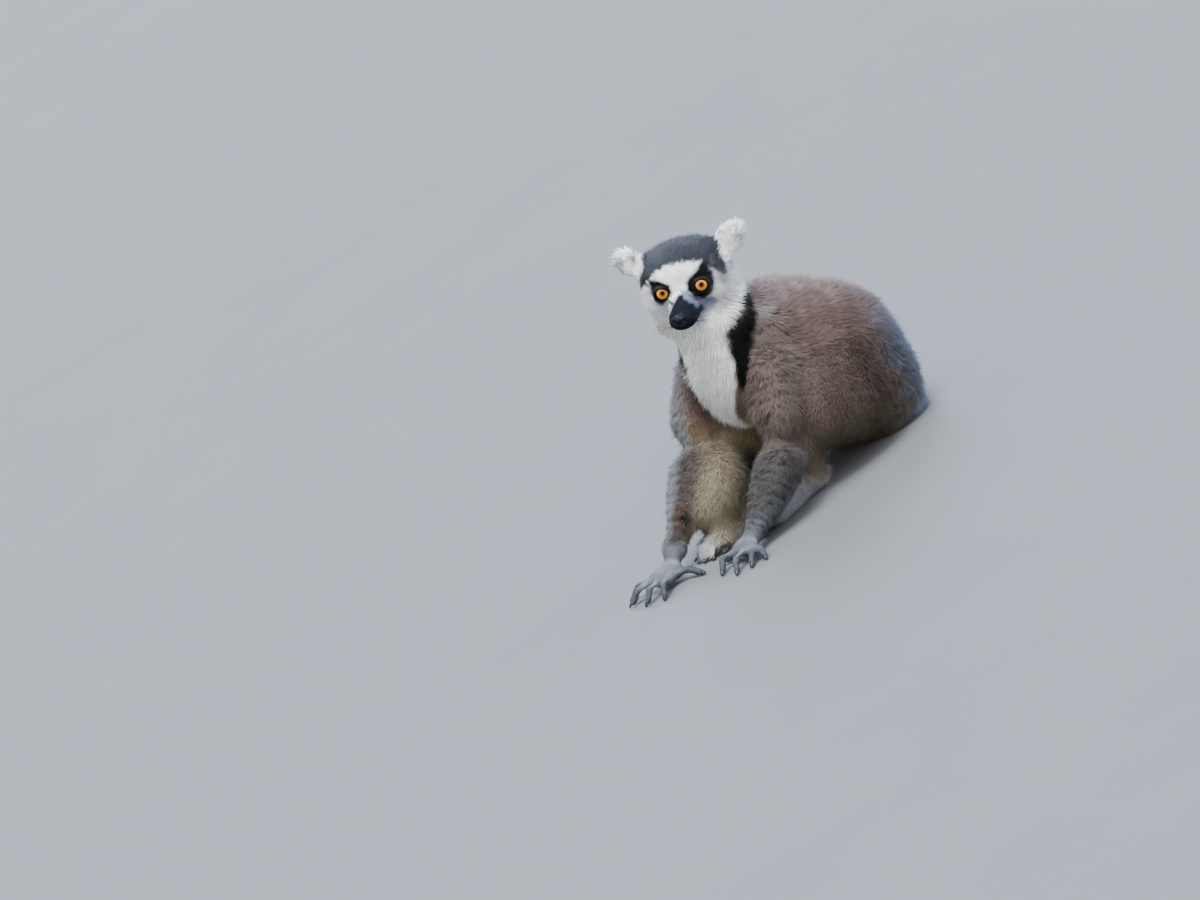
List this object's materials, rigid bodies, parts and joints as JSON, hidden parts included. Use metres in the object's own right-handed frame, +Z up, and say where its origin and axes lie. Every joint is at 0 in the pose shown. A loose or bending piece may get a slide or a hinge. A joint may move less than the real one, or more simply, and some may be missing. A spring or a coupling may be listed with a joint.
{
  "type": "ring-tailed lemur",
  "caption": "Life-size ring-tailed lemur, seated on its haunches with straight forelimbs set down in front, head turned to its left and ringed tail curled beside it.",
  "frame": {"origin": "on the floor, under the middle of the overall box", "axes": "+Z up from the floor the animal sits on; the body faces -Y; the animal's left side is +X"},
  "size_m": [0.405, 0.3952, 0.2547],
  "materials": {
    "eye": "wet amber iris with a black pupil, clear gloss",
    "nose": "bare black nose leather, moist",
    "head_coat": "short dense fur: white face and ruff, dark grey crown, black eye rings and muzzle",
    "ear_coat": "long soft white fur",
    "body_coat": "dense soft fur, rosy brown back, grey rump, cream underside, black collar behind the ruff",
    "arm_coat": "short dense fur, grey-brown",
    "leg_coat": "short dense fur, cream and grey",
    "hand_coat": "very short pale grey fur over dark skin, black nails",
    "foot_coat": "very short white-grey fur over dark skin, black nails",
    "tail_coat": "long dense fur in black and white rings"
  },
  "bodies": {
    "root": {"ear_left": "ear_coat", "ear_right": "ear_coat", "eye_left": "eye", "eye_right": "eye", "foot_left": "foot_coat", "foot_right": "foot_coat", "forearm_left": "arm_coat", "forearm_right": "arm_coat", "hand_left": "hand_coat", "hand_right": "hand_coat", "head": "head_coat", "neck": "body_coat", "nose": "nose", "shank_left": "leg_coat", "shank_right": "leg_coat", "tail_1": "tail_coat", "tail_2": "tail_coat", "tail_3": "tail_coat", "tail_4": "tail_coat", "thigh_left": "body_coat", "thigh_right": "body_coat", "trunk": "body_coat", "upper_arm_left": "arm_coat", "upper_arm_right": "arm_coat"}
  },
  "joints": []
}
